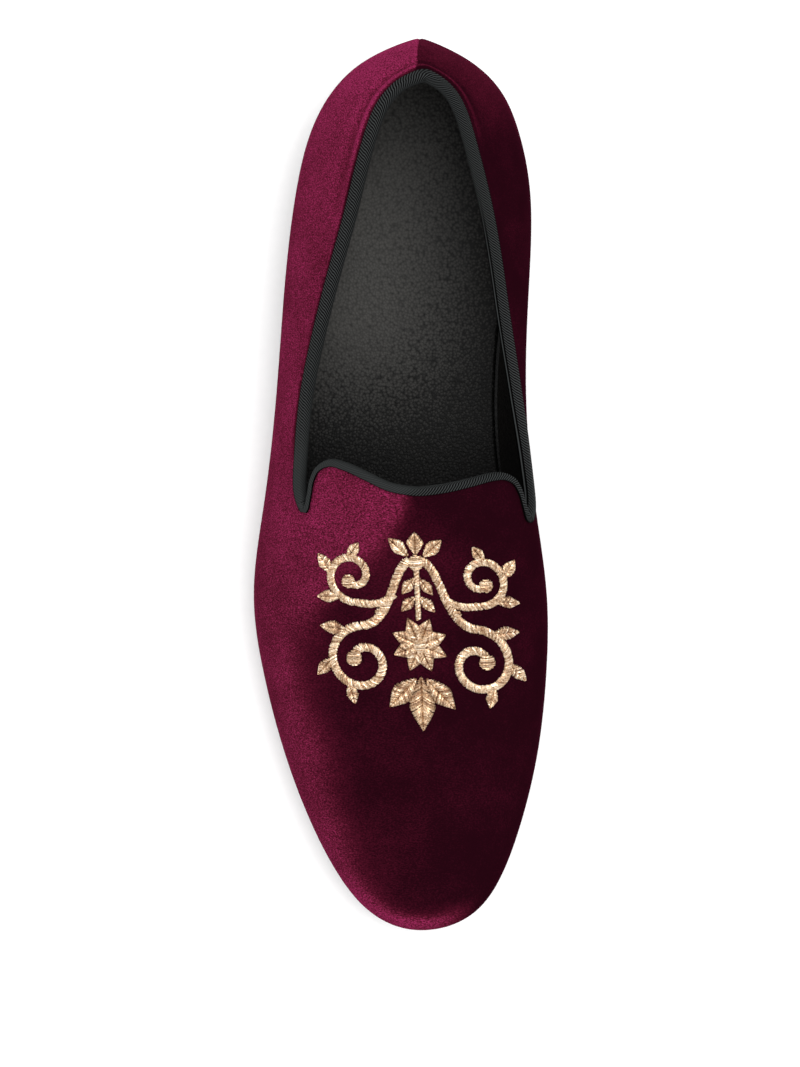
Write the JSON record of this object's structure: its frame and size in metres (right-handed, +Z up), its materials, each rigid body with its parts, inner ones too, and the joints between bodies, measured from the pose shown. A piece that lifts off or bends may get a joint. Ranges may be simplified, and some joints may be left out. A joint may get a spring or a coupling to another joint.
{
  "type": "loafer",
  "caption": "Low velvet slip-on slipper for the right foot: ribbon-bound collar with a slit at each side of the throat, leather sole with arch and toe spring, low block heel.",
  "frame": {"origin": "on the floor, under the middle of the shoe's box", "axes": "+Y towards the heel, so the toe points to -Y; +X towards the medial side; +Z up"},
  "size_m": [0.0963, 0.29, 0.0812],
  "materials": {
    "velvet": "cut-pile velvet",
    "ribbon": "ribbed grosgrain",
    "sock_leather": "fine grain, satin",
    "sole_leather": "smooth, satin",
    "heel_leather": "smooth, satin"
  },
  "bodies": {
    "root": {"upper": "velvet", "collar_binding": "ribbon", "insole": "sock_leather", "outsole": "sole_leather", "heel": "heel_leather"}
  },
  "joints": []
}
